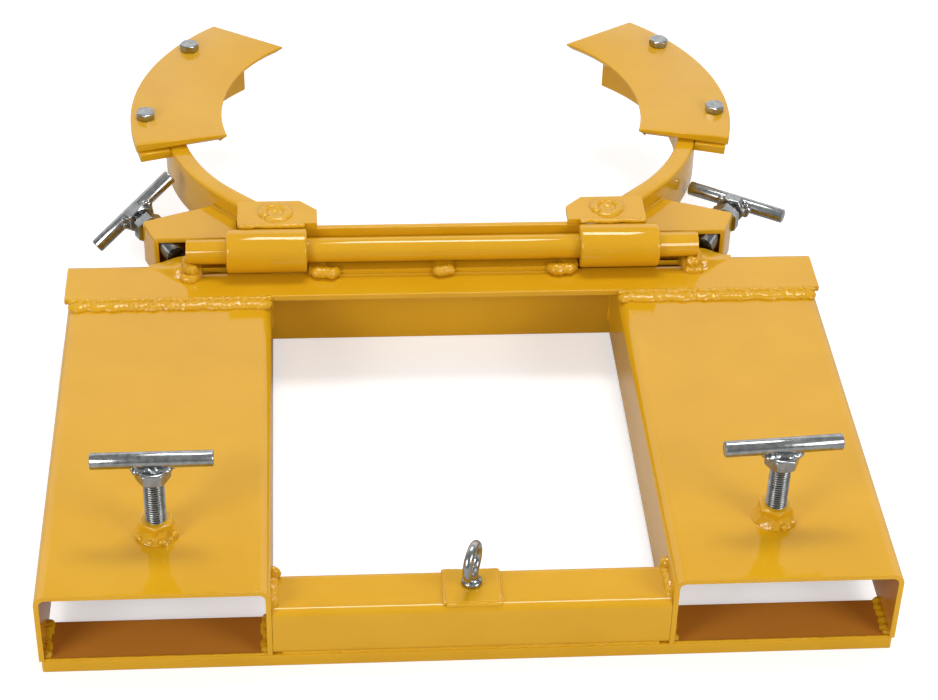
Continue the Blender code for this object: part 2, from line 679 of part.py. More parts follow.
def lever_nut(label, side):
    """A nut on the lever's far wall, trimmed to the wall, which doesn't stand quite square to the screw."""
    start = screw_point(side, LEVER_TO_BAR + SCREW_RADIUS)
    end = screw_point(side, LEVER_TO_BAR - GAP - LEVER_NUT_THICK)
    item = part(hexagon(SCREW_NUT, end, start), label + "_lever_nut", ENAMEL)
    inward = Vector((-math.cos(LEVER_BOX_ANGLE), -math.sin(LEVER_BOX_ANGLE)))
    across = Vector((-inward.y, inward.x))
    wall = Vector((LEVER_BAR_X, LEVER_BAR_Y)) + SCREW_AXIS.to_2d() * LEVER_TO_BAR - inward * GAP
    corners = (wall - across * CUT_PAST, wall + across * CUT_PAST)
    trim = [tuple(place) for place in corners]
    trim += [tuple(place + inward * CUT_PAST) for place in reversed(corners)]
    block = lying(mirrored(trim, side), LEVER_SCREW_Z - CUT_PAST, LEVER_SCREW_Z + CUT_PAST)
    boolean(item, cutter(block, label + "_nut_trim"))
    return round_bore(item, label + "_lever_nut_bore", SCREW_RADIUS + SCREW_PLAY,
                      screw_point(side, LEVER_TO_BAR + CUT_PAST), screw_point(side, 0))


def closing_screw(label, side):
    """Threaded shank, hexagon head welded on it, and the tee bar welded across the head."""
    head_low = LEVER_TO_BAR - GAP - LEVER_NUT_THICK - LEVER_HEAD_GAP
    head_top = head_low - SCREW_HEAD_THICK
    shank = cylinder(SCREW_RADIUS, screw_point(side, head_low + GAP), screw_point(side, tip_reach()), 24)
    part(bevel(shank, SCREW_EDGE, 1), label + "_closing_screw", ZINC)
    head = hexagon(SCREW_NUT, screw_point(side, head_low), screw_point(side, head_top))
    part(bevel(head, HEAD_EDGE, 1), label + "_closing_head", ZINC)
    middle = screw_point(side, head_top - GAP - BAR_RADIUS)
    inward = Vector((side * SCREW_AXIS.x, SCREW_AXIS.y, 0))
    level = Vector((0, 0, 1)).cross(inward)
    turn = Matrix.Rotation(side * LEVER_BAR_TURN[label], 3, inward)
    reach = turn @ level * (BAR_LENGTH / 2)
    bar = cylinder(BAR_RADIUS, middle - reach, middle + reach, 24)
    part(bevel(bar, SCREW_EDGE, 2), label + "_closing_bar", ZINC)
    return shank, head, bar


def clamp_nut(label, side):
    low = at_side(side, CLAMP_X, CLAMP_Y, POCKET_TOP + GAP)
    high = low + Vector((0, 0, CLAMP_NUT_THICK))
    item = part(hexagon(SCREW_NUT, low, high), label + "_clamp_nut", ENAMEL)
    over = Vector((0, 0, CUT_PAST))
    return round_bore(item, label + "_clamp_nut_bore", SCREW_RADIUS + SCREW_PLAY, low - over, high + over)


def clamp_screw(label, side):
    axis = at_side(side, CLAMP_X, CLAMP_Y, 0)
    up = Vector((0, 0, 1))
    tip = axis + up * (POCKET_TOP - POCKET_WALL - CLAMP_TIP_DROP)
    shank = cylinder(SCREW_RADIUS, tip, axis + up * (CLAMP_HEAD_Z - GAP), 24)
    part(bevel(shank, SCREW_EDGE, 1), label + "_clamp_screw", ZINC)
    head_top = CLAMP_HEAD_Z + SCREW_HEAD_THICK
    head = hexagon(SCREW_NUT, axis + up * CLAMP_HEAD_Z, axis + up * head_top, CLAMP_HEAD_TURN)
    part(bevel(head, HEAD_EDGE, 1), label + "_clamp_head", ZINC)
    middle = axis + up * (head_top + GAP + BAR_RADIUS)
    turn = CLAMP_BAR_TURN[label]
    reach = Vector((math.cos(turn), math.sin(turn), 0)) * (BAR_LENGTH / 2)
    bar = cylinder(BAR_RADIUS, middle - reach, middle + reach, 24)
    part(bevel(bar, SCREW_EDGE, 2), label + "_clamp_bar", ZINC)
    return shank, head, bar


def eye_bolt_pad():
    across = EYE_PAD_SIZE / 2
    along = EYE_PAD_DEPTH / 2
    middle = TUBE_SIZE / 2
    base = STRAP_THICK + GAP + TUBE_SIZE + GAP
    item = box((-across, middle - along, base), (across, middle + along, base + EYE_PAD_THICK))
    return part(bevel(item, EYE_PAD_EDGE), "eye_bolt_pad", ENAMEL)


def eye_bolt():
    """A cast eye: a torus standing on a collar."""
    base = STRAP_THICK + GAP + TUBE_SIZE + GAP + EYE_PAD_THICK + GAP
    centre = (0, EYE_Y, base + EYE_COLLAR_HEIGHT + EYE_RING_RADIUS + EYE_WIRE_RADIUS / 2)
    bpy.ops.mesh.primitive_torus_add(major_radius=EYE_RING_RADIUS, minor_radius=EYE_WIRE_RADIUS,
                                     major_segments=36, minor_segments=12)
    ring = bpy.context.object
    ring.location = centre
    ring.rotation_euler = (math.pi / 2, 0, EYE_TURN)
    part(smooth(ring), "eye_bolt", ZINC)
    collar = cylinder(EYE_COLLAR_RADIUS, (0, EYE_Y, base), (0, EYE_Y, base + EYE_COLLAR_HEIGHT), 24)
    return boolean(ring, cutter(collar, "eye_collar"), "UNION")


def build_frame():
    floor_strap()
    rear_cross_tube()
    front_cross_angle()
    shaft_seat()
    hinge_shaft()
    eye_bolt_pad()
    eye_bolt()
    for label, side in SIDES:
        fork_pocket(label, side)
        shaft_saddle(label, side)
        clamp_nut(label, side)
        shank, head, bar = clamp_screw(label, side)
        axis = empty(label + "_clamp_axis", at_side(side, CLAMP_X, CLAMP_Y, POCKET_TOP))
        hang((shank, head, bar), axis)


def build_head():
    head_axis = empty("head_hinge_axis", (0, SHAFT_Y, SHAFT_Z))
    carried = [head_back_plate()]
    for label, side in SIDES:
        carried += [hinge_sleeve(label, side), top_pivot_plate(label, side), bottom_pivot_plate(label, side),
                    pivot_pin(label, side)]
        pin_axis = empty(label + "_arm_axis", at_side(side, PIN_X, PIN_Y, BAND_BASE))
        arm = [jaw_band(label, side), pad_flange(label, side), drum_pad(label, side),
               lever_box(label, side), lever_nut(label, side)]
        for number, angle in enumerate(BOLT_ANGLES, 1):
            arm += [pad_bolt(label, side, number, angle), pad_nut(label, side, number, angle)]
        arm += closing_screw(label, side)
        hang(arm, pin_axis)
        carried.append(pin_axis)
    hang(carried, head_axis)


def centre_lengthways():
    """Move every piece and cutter back by half the overall length."""
    for item in bpy.data.objects:
        if item.parent is None:
            item.location.y -= LENGTH / 2


clear_scene()
PARTS = new_collection("drum_lifter")
CUTTERS = new_collection("cutters")
build_frame()
build_head()
centre_lengthways()
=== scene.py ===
"""Looks of the fork-mounted drum lifter: enamel, zinc plate, weld beads, screw threads, light and camera.

Places are written in inches from the lifter's near end, as spot() reads them, or are read from the frame.
"""
import json
import math

import bmesh
import bpy
import numpy as np
from mathutils import Matrix, Vector

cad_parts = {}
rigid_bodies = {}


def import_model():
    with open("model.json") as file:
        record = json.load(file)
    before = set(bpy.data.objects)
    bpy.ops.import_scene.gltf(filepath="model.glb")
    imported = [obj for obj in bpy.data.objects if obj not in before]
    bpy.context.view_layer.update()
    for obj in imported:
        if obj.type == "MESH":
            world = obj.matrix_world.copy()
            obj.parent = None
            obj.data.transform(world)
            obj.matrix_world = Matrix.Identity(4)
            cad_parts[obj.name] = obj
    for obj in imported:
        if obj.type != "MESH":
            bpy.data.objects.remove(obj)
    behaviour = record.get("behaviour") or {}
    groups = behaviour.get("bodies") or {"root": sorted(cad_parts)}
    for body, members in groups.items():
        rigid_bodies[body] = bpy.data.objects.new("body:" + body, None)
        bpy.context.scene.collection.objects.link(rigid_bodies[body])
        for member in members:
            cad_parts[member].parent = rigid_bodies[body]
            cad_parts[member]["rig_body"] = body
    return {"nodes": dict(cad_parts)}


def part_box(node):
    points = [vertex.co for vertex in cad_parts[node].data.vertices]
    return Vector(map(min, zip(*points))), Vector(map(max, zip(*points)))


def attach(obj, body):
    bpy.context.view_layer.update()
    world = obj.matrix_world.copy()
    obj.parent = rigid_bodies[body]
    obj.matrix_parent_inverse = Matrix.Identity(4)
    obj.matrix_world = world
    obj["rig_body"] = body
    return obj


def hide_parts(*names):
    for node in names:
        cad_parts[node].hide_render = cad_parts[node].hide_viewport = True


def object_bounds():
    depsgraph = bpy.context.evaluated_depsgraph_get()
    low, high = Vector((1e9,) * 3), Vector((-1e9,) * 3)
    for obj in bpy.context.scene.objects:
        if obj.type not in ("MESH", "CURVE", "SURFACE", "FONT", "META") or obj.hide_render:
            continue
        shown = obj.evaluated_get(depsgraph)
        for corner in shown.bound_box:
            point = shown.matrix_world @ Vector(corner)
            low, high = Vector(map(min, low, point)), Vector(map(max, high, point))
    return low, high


INCH = 0.0254
SIDES = (("left", -1), ("right", 1))

# Camera, fitted to the photograph's frame
IMAGE_WIDTH = 938
FOCAL_PIXELS = 2329.203
CAMERA_PLACE = (-0.138829, -1.922834, 1.461046)
CAMERA_YAW = 0.08606
CAMERA_PITCH = 0.64544
CAMERA_ROLL = 0.03235

# Plan of the jaw arms, in inches and degrees, for the right-hand side
ARC_CENTRE = (2.97, 27.7)
BAND_INNER = 7.68
BAND_OUTER = 8.43
BAND_END = 48.0
EYE_RADIUS = 0.45
LEVER_END = -41.3
# The lever is cut from two inch tube; its solid is shallower, so its floor is hung lower here
LEVER_DROP = 0.76
FLOOR_DEPTH = 0.19
POCKET_WALL = 0.1875
FLANGE_OUTER = 9.742
FLANGE_START = -16.8
PAD_OUTER = 9.85
PAD_INNER = 7.07
PAD_INNER_CENTRE = (1.9, 27.7)
PAD_START = -15.6
PAD_END_OUTER = 48.8
PAD_END_INNER = 50.8
PAD_CHAMFER = 0.25

# Fasteners and tee handles, in inches
SCREW_RADIUS = 0.375
THREAD_PITCH = 0.1
HEX_CROWN = 0.94
BAR_CHAMFER = 0.05

# Weld beads, in inches
TUBE_SEAM = 6.87
RIPPLE = 0.125
BEAD_STEP = 0.035

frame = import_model()
NODES = frame["nodes"]
CAD_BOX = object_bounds()
NEAR_END = CAD_BOX[0][1]
SEAM = 0.012
SLEEVE_PLAY = 0.02


def linear(code):
    """sRGB hex to scene-linear RGB."""
    parts = [int(code[k:k + 2], 16) / 255 for k in (1, 3, 5)]
    return tuple(c / 12.92 if c <= 0.04045 else ((c + 0.055) / 1.055) ** 2.4 for c in parts)


def rgba(code):
    return (*linear(code), 1.0)


def add_node(tree, kind, settings=None, **links):
    """A node with its settings; links name an input and give a socket or a constant for it."""
    made = tree.nodes.new(kind)
    for name, value in (settings or {}).items():
        setattr(made, name, value)
    for name, value in links.items():
        socket = made.inputs[int(name[1:])] if name[0] == "i" and name[1:].isdigit() else made.inputs[name]
        if isinstance(value, bpy.types.NodeSocket):
            tree.links.new(value, socket)
        else:
            socket.default_value = value
    return made


def new_material(name):
    made = bpy.data.materials.new(name)
    made.use_nodes = True
    tree = made.node_tree
    tree.nodes.clear()
    return made, tree


def object_point(tree):
    return tree.nodes.new("ShaderNodeTexCoord").outputs["Object"]


def ramp(tree, factor, stops):
    """A colour ramp between (position, grey) stops."""
    made = add_node(tree, "ShaderNodeValToRGB", Fac=factor)
    band = made.color_ramp
    while len(band.elements) < len(stops):
        band.elements.new(0.5)
    for element, (place, grey) in zip(band.elements, stops):
        element.position = place
        element.color = (grey, grey, grey, 1.0)
    return made.outputs["Color"]


def mix_colour(tree, factor, first, second):
    made = add_node(tree, "ShaderNodeMix", {"data_type": "RGBA"})
    for index, value in ((0, factor), (6, first), (7, second)):
        if isinstance(value, bpy.types.NodeSocket):
            tree.links.new(value, made.inputs[index])
        else:
            made.inputs[index].default_value = value
    return made.outputs[2]


def arithmetic(tree, operation, first, second=0.0):
    return add_node(tree, "ShaderNodeMath", {"operation": operation}, i0=first, i1=second).outputs[0]


def surface_output(tree, colour, shader):
    tree.links.new(colour, shader.inputs["Base Color"])
    out = tree.nodes.new("ShaderNodeOutputMaterial")
    tree.links.new(shader.outputs["BSDF"], out.inputs["Surface"])


def enamel(name, gloss_range, peel_strength, wave_strength, painted_shade_mask=None):
    """Golden-yellow stoving enamel: wet-looking gloss, faint orange peel, and painted shade in a browner
    colour on the faces a mask gives.
    """
    made, tree = new_material(name)
    point = object_point(tree)
    # Flow marks 60 to 90 mm across that shift the shade by a hair
    flow = add_node(tree, "ShaderNodeTexNoise", Vector=point, Scale=14.0, Detail=3.0, Roughness=0.5)
    shade = ramp(tree, flow.outputs["Fac"], ((0.30, 0.0), (0.72, 1.0)))
    colour = mix_colour(tree, shade, rgba("#CE9812"), rgba("#D49F1A"))
    # Painted shade: where the mask is 1 the colour turns a darker red-brown
    if painted_shade_mask:
        colour = mix_colour(tree, painted_shade_mask(tree, point), colour, rgba("#BC7A2C"))
    # Orange peel about 2.5 mm across and slower waves of about 20 mm, a few microns high
    peel = add_node(tree, "ShaderNodeTexNoise", Vector=point, Scale=420.0, Detail=1.5, Roughness=0.4)
    slow = add_node(tree, "ShaderNodeTexNoise", Vector=point, Scale=45.0, Detail=2.0, Roughness=0.5)
    bump = add_node(tree, "ShaderNodeBump", Height=peel.outputs["Fac"], Strength=peel_strength,
                    Distance=0.0006)
    wave = add_node(tree, "ShaderNodeBump", Height=slow.outputs["Fac"], Strength=wave_strength,
                    Distance=0.0020, Normal=bump.outputs["Normal"])
    gloss = ramp(tree, flow.outputs["Fac"], ((0.25, gloss_range[0]), (0.80, gloss_range[1])))
    shader = add_node(tree, "ShaderNodeBsdfPrincipled", Roughness=gloss, Normal=wave.outputs["Normal"])
    surface_output(tree, colour, shader)
    return made


def zinc():
    """Bright zinc plate on steel: blue-grey metal with a cloudy haze and fine handling marks."""
    made, tree = new_material("bright_zinc_plate")
    point = object_point(tree)
    cloud = add_node(tree, "ShaderNodeTexNoise", Vector=point, Scale=160.0, Detail=5.0, Roughness=0.6)
    shade = ramp(tree, cloud.outputs["Fac"], ((0.30, 0.0), (0.70, 1.0)))
    plate = mix_colour(tree, shade, rgba("#8E9192"), rgba("#B6B8B8"))
    # An attribute, 1 in a thread's root, turns the plate near black there: painted shade in the roots, and
    # along a shaded tip
    painted_thread_shade = add_node(tree, "ShaderNodeAttribute", {"attribute_name": "painted_thread_shade"}).outputs["Fac"]
    colour = mix_colour(tree, painted_thread_shade, plate, rgba("#221D14"))
    # Handling marks under a millimetre wide, drawn as coarse as they need to show
    grain = add_node(tree, "ShaderNodeTexNoise", Vector=point, Scale=1500.0, Detail=2.0, Roughness=0.5)
    gloss = ramp(tree, cloud.outputs["Fac"], ((0.25, 0.17), (0.80, 0.27)))
    bump = add_node(tree, "ShaderNodeBump", Height=grain.outputs["Fac"], Strength=0.08, Distance=0.0002)
    shader = add_node(tree, "ShaderNodeBsdfPrincipled", Roughness=gloss, Metallic=1.0,
                      Normal=bump.outputs["Normal"])
    surface_output(tree, colour, shader)
    return made


def inside_pockets(tree, point):
    """1 on the faces round the forks' room, where painted shade goes, 0 elsewhere: a box whose sides run
    inside the walls.
    """
    low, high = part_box("right_fork_pocket")
    half = POCKET_WALL * 0.75 * INCH
    parts = add_node(tree, "ShaderNodeSeparateXYZ", Vector=point)
    across = arithmetic(tree, "ABSOLUTE", parts.outputs["X"])
    tests = ((across, "GREATER_THAN", low.x + half), (across, "LESS_THAN", high.x - half),
             (parts.outputs["Y"], "GREATER_THAN", low.y + 0.06 * INCH),
             (parts.outputs["Z"], "GREATER_THAN", low.z - 0.03 * INCH),
             (parts.outputs["Z"], "LESS_THAN", high.z - half))
    mask = 1.0
    for level, operation, limit in tests:
        mask = arithmetic(tree, "MULTIPLY", mask, arithmetic(tree, operation, level, limit))
    return mask


ENAMEL = enamel("golden_stoving_enamel", (0.06, 0.10), 0.04, 0.06)
# Inside the pockets the colour is mixed towards a red-brown: painted shade of the pockets' recess
POCKET_SHADED_ENAMEL = enamel("enamel_painted_shade_inside", (0.06, 0.10), 0.04, 0.06, inside_pockets)
# Over a weld the paint lies thicker and wetter, and follows the crescents left by the molten pool
WELD_ENAMEL = enamel("enamel_over_weld", (0.04, 0.08), 0.60, 0.35)
ZINC = zinc()
ZINC_WORDS = ("pad_bolt", "pad_nut", "closing_", "clamp_screw", "clamp_head", "clamp_bar")
for name, node in NODES.items():
    plated = name == "eye_bolt" or any(word in name for word in ZINC_WORDS)
    node.data.materials.clear()
    node.data.materials.append(ZINC if plated else ENAMEL)


def lone(name, data):
    made = bpy.data.objects.new(name, data)
    bpy.context.scene.collection.objects.link(made)
    return made


def spot(x, y, z):
    """A place in inches from the lifter's near end, in metres in the frame."""
    return np.array((x, y, z)) * INCH + (0, NEAR_END, 0)


def unit(vector):
    return vector / np.linalg.norm(vector, axis=-1, keepdims=True)


def node_points(node):
    places = np.empty(len(NODES[node].data.vertices) * 3, np.float32)
    NODES[node].data.vertices.foreach_get("co", places)
    return places.reshape(-1, 3).astype(float)


def long_axis(node):
    """The direction in which a node's points spread most."""
    points = node_points(node)
    return np.linalg.svd(points - points.mean(0), full_matrices=False)[2][0]


def reading(node, axis):
    """A round or hexagonal node read from its points: both ends of its axis and a way to its far corner."""
    points = node_points(node)
    centre = (points.min(0) + points.max(0)) / 2
    along = (points - centre) @ axis
    across = points - centre - along[:, None] * axis
    corner = across[np.argmax(np.linalg.norm(across, axis=1))]
    return centre + axis * along.min(), centre + axis * along.max(), corner


def grid_mesh(name, grid, sharp, loop=False, flat_ends=False):
    """Quads over a (rows, around, 3) grid that closes round; its ends are a fan, a face or each other."""
    rows, around = grid.shape[:2]
    turn = np.arange(around)
    after = (turn + 1) % around
    row = np.arange(rows if loop else rows - 1)[:, None] * around
    over = (row + around) % (rows * around)
    quads = np.stack([row + turn, row + after, over + after, over + turn], -1).reshape(-1, 4)
    points = grid.reshape(-1, 3)
    a, b, c, d = (points[quads[:, k]] for k in range(4))
    outward = np.einsum("ij,ij->", a - points.mean(0), np.cross(b - a, c - a) + np.cross(c - a, d - a)) > 0
    last = (rows - 1) * around
    if loop:
        ends = []
    elif flat_ends:
        ends = [turn[::-1].tolist(), (last + turn).tolist()]
    else:
        points = np.vstack([points, grid[0].mean(0), grid[-1].mean(0)])
        first_fan = np.stack([np.full(around, rows * around), after, turn], -1)
        last_fan = np.stack([np.full(around, rows * around + 1), last + turn, last + after], -1)
        ends = first_fan.tolist() + last_fan.tolist()
    faces = quads.tolist() + ends
    if not outward:
        faces = [face[::-1] for face in faces]
    data = bpy.data.meshes.new(name)
    data.from_pydata(points.tolist(), [], faces)
    data.shade_smooth()
    data.set_sharp_from_angle(angle=math.radians(sharp))
    return data


def piece(name, data, body, finish, *nodes):
    """A finished piece that rides on a body and stands for the nodes named."""
    data.materials.clear()
    data.materials.append(finish)
    made = lone(name, data)
    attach(made, body)
    if nodes:
        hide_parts(*nodes)
    return made


def body_of(node):
    return NODES[node]["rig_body"]


def rounded(made, width, segments=3, angle=35):
    """Edges sharper than the angle get a round of the given width, in inches."""
    step = made.modifiers.new("rounded_edges", "BEVEL")
    step.width = width * INCH
    step.segments = segments
    step.limit_method = "ANGLE"
    step.angle_limit = math.radians(angle)
    level = made.modifiers.new("flat_faces_stay_flat", "WEIGHTED_NORMAL")
    level.weight = 100
    level.keep_sharp = True
    return made


def softened(node, width, finish=None, segments=2, angle=40, drop=0.0):
    """A copy of the node's solid, merged to whole faces, with rounded edges for the paint to run over.

    Its floor may hang lower than the solid's by a drop in inches.
    """
    data = NODES[node].data.copy()
    places = node_points(node)
    places[:, 2] -= drop * INCH * (places[:, 2] < places[:, 2].min() + FLOOR_DEPTH * INCH)
    data.vertices.foreach_set("co", places.ravel().astype(np.float32))
    shape = bmesh.new()
    shape.from_mesh(data)
    bmesh.ops.remove_doubles(shape, verts=shape.verts, dist=1e-6)
    bmesh.ops.dissolve_limit(shape, angle_limit=math.radians(0.5), verts=shape.verts, edges=shape.edges)
    shape.to_mesh(data)
    shape.free()
    data.shade_smooth()
    made = piece(node + "_finish", data, body_of(node), finish or ENAMEL, node)
    return rounded(made, width, segments, angle)


def wavy(values, seed, length):
    """A smooth wave between about -1 and 1: six sines of lengths near the one given, with seeded phases."""
    dice = np.random.default_rng(seed)
    lengths = length * dice.uniform(0.55, 2.0, 6)
    starts = dice.uniform(0, 2 * math.pi, 6)
    return np.sin(2 * math.pi * values[..., None] / lengths + starts).mean(-1) * 1.9


def weld_bead(name, body, path, radius, up=(0, 0, 1), height=1.0, rough=1.0, finish=None, seed=1):
    """A run of weld along a path: a circle carried along it, swollen by ripples and lumps.

    Radius = taper at the ends x (1 + ripple + lumps). The ripple is the root of a rectified sine every
    RIPPLE inches, delayed towards the sides so that each wave is a crescent. The path wanders sideways.
    """
    path = np.array(path, float)
    run = np.r_[0, np.cumsum(np.linalg.norm(np.diff(path, axis=0), axis=1))]
    along = np.linspace(0, run[-1], max(14, int(run[-1] / (BEAD_STEP * INCH))))
    centre = np.stack([np.interp(along, run, path[:, k]) for k in range(3)], -1)
    ahead = unit(np.gradient(centre, axis=0))
    side = unit(np.cross(ahead, np.array(up, float)))
    top = np.cross(side, ahead)
    size = radius * INCH
    theta = np.linspace(0, 2 * math.pi, 22, endpoint=False)
    late = along[:, None] + 0.75 * size * (1 - np.sin(theta))
    ripple = np.abs(np.sin(math.pi * late / (RIPPLE * INCH))) ** 0.6 - 0.6
    lumps = wavy(along[:, None] + 0.8 * size * np.cos(theta), seed, 0.42 * INCH)
    dents = wavy(late + 0.6 * size * np.cos(2 * theta), seed + 40, 0.2 * INCH)
    swell = 1 + rough * (0.10 * ripple + 0.07 * lumps + 0.06 * dents)
    reach = np.minimum(np.minimum(along, along[-1] - along) / (1.1 * size), 1)
    taper = np.sqrt(np.clip(1 - (1 - reach) ** 2, 0.0004, 1))
    drift = (0.16 * rough * size * wavy(along, seed + 80, 0.9 * INCH))[:, None, None]
    spread = (size * swell * taper[:, None])[..., None]
    grid = centre[:, None] + side[:, None] * (spread * np.cos(theta)[:, None] + drift)
    grid = grid + top[:, None] * spread * height * np.sin(theta)[:, None]
    return piece(name, grid_mesh(name, grid, 60), body, finish or WELD_ENAMEL)


def ring_path(centre, radius, start=0, turn=370, up=(0, 0, 1)):
    """Points round a circle about an axis, a little past one turn, where the weld stops on its start."""
    up = np.array(up, float)
    first = unit(np.cross(up, (0.0, 0.0, 1.0) if abs(up[2]) < 0.9 else (0.0, 1.0, 0.0)))
    second = np.cross(up, first)
    theta = np.radians(np.linspace(start, start + turn, 90))[:, None]
    return np.array(centre) + radius * INCH * (first * np.cos(theta) + second * np.sin(theta))


def turned(name, foot, top, profile, around=48, sharp=32, bored=False):
    """A profile of (distance along the axis, radius) pairs turned about the axis, in metres."""
    axis = unit(top - foot)
    first = unit(np.cross(axis, (0.3, 0.5, 0.8)))
    second = np.cross(axis, first)
    theta = np.linspace(0, 2 * math.pi, around, endpoint=False)[:, None]
    circle = first * np.cos(theta) + second * np.sin(theta)
    places = np.array(profile, float)
    grid = foot + places[:, :1, None] * axis + places[:, 1:, None] * circle
    return grid_mesh(name, grid, sharp, loop=bored)


def threaded(node, start, end, shaded_tip=0.0):
    """A screw shank: its radius falls from crest to root along a helix of phase z / pitch - turn / 2 pi.

    An attribute of painted shade marks its roots, and the tip stretch given in inches, for the zinc to
    darken.
    """
    pitch = THREAD_PITCH * INCH
    crest = SCREW_RADIUS * INCH
    length = np.linalg.norm(end - start)
    axis = unit(end - start)
    first = unit(np.cross(axis, (0.3, 0.5, 0.8)))
    second = np.cross(axis, first)
    theta = np.linspace(0, 2 * math.pi, 40, endpoint=False)
    z = np.linspace(0, length, int(length / pitch * 9))[:, None]
    flank = np.abs(((z / pitch - theta / (2 * math.pi)) % 1) * 2 - 1)
    depth = 0.62 * pitch * np.clip((flank - 0.14) / 0.74, 0, 1)
    lead = crest - 0.7 * pitch + np.minimum(z, length - z)
    radius = np.minimum(crest - depth, lead)[..., None]
    circle = first * np.cos(theta)[:, None] + second * np.sin(theta)[:, None]
    grid = start + z[..., None] * axis + radius * circle
    data = grid_mesh(node, grid, 70)
    # Painted shade: the deeper into the root, the darker; a shaded tip is near black
    thread_shade = np.clip(1.3 * depth / (0.62 * pitch) - 0.3, 0, 1) * 0.95
    thread_shade = np.maximum(thread_shade, np.where(length - z < shaded_tip * INCH, 0.92, 0.0))
    painted_thread_shade = data.attributes.new("painted_thread_shade", "FLOAT", "POINT")
    painted_thread_shade.data.foreach_set("value", np.r_[thread_shade.ravel(), 0.0, 0.92].astype(np.float32))
    return piece(node + "_thread", data, body_of(node), ZINC, node)


def hexagon(node, foot, top, corner, finish, low_crown=True):
    """Six walls and crowned ends.

    A wall is half the flats over the cosine of the turn from its middle. A 30 degree cone takes the corners
    off towards each end.
    """
    axis = unit(top - foot)
    height = np.linalg.norm(top - foot)
    corner = corner - (corner @ axis) * axis
    flats = np.linalg.norm(corner) * math.sqrt(3) / 2
    first = unit(corner)
    second = np.cross(axis, first)
    theta = np.linspace(0, 2 * math.pi, 96, endpoint=False)
    wall = flats / np.cos((theta % (math.pi / 3)) - math.pi / 6)
    crown = np.full_like(wall, flats * HEX_CROWN)
    drop = (wall - crown) * math.tan(math.radians(30))
    foot_row = (crown, 0 * wall) if low_crown else (wall, 0 * wall)
    rows = [foot_row, (wall, drop if low_crown else 0.02 * height + 0 * wall), (wall, height - drop),
            (crown, height + 0 * wall)]
    circle = first * np.cos(theta)[:, None] + second * np.sin(theta)[:, None]
    grid = np.stack([foot + radius[:, None] * circle + level[:, None] * axis for radius, level in rows])
    made = piece(node + "_hex", grid_mesh(node, grid, 24), body_of(node), finish, node)
    return rounded(made, 0.018, 2, 24)


def tee_bar(node):
    """A cut length of round bar with a small chamfer at both ends."""
    axis = long_axis(node)
    foot, top, rim = reading(node, axis)
    length = np.linalg.norm(top - foot)
    rim = np.linalg.norm(rim)
    cut = BAR_CHAMFER * INCH
    profile = [(0, rim - cut), (0.35 * cut, rim - 0.35 * cut), (cut, rim), (length - cut, rim),
               (length - 0.35 * cut, rim - 0.35 * cut), (length, rim - cut)]
    piece(node + "_round", turned(node, foot, top, profile, 64), body_of(node), ZINC, node)
    return unit(top - foot), rim


def plan_arc(centre, radius, start, end, steps=40):
    """Points of an arc in plan, in inches, from one angle to another in degrees."""
    theta = np.radians(np.linspace(start, end, steps))
    return np.stack([centre[0] + radius * np.cos(theta), centre[1] + radius * np.sin(theta)], -1)


def slab(name, outline, side, low, high, edge, steps=4, undercut=None, upright=False):
    """A plate with rounded long edges: its outline drawn in by 1 - sine and raised by 1 - cosine.

    It lies flat, with its outline in plan, or stands upright facing along the frame.
    """
    plan = outline * (side, 1) * INCH + (0, 0 if upright else NEAR_END)
    after = np.roll(plan, -1, axis=0)
    if np.sum(plan[:, 0] * after[:, 1] - plan[:, 1] * after[:, 0]) < 0:
        plan = plan[::-1]
        undercut = None if undercut is None else undercut[::-1]
    along = unit(np.roll(plan, -1, axis=0) - plan)
    inner = np.stack([-along[:, 1], along[:, 0]], -1)
    before = np.roll(inner, 1, axis=0)
    mitre = (inner + before) / (1 + np.sum(inner * before, axis=1, keepdims=True)).clip(0.4)
    turn = np.linspace(0, math.pi / 2, steps + 1)
    inset = edge * INCH * (1 - np.sin(turn))
    rise = edge * INCH * (1 - np.cos(turn))
    insets = np.r_[inset, inset[::-1]][:, None]
    levels = np.r_[low * INCH + rise, (high * INCH - rise)[::-1]][:, None]
    insets, levels = np.broadcast_arrays(insets, levels + 0 * plan[None, :, 0])
    if undercut is not None:
        slope = undercut * PAD_CHAMFER * INCH
        lower = np.arange(len(levels))[:, None] <= steps
        rest = np.linspace(1, 0, steps + 1)
        share = np.r_[rest, np.zeros(steps + 1)][:, None]
        insets = insets + slope * share
        levels = np.where(lower, levels + slope * (1 - share), levels)
    places = plan + insets[..., None] * mitre
    grid = np.concatenate([places, levels[..., None]], -1)
    if upright:
        grid = grid[..., [0, 2, 1]] + (0, NEAR_END, 0)
    return grid_mesh(name, grid, 32, flat_ends=True)


def frame_level(node, end):
    """A node's lowest or highest level, in inches."""
    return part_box(node)[end].z / INCH


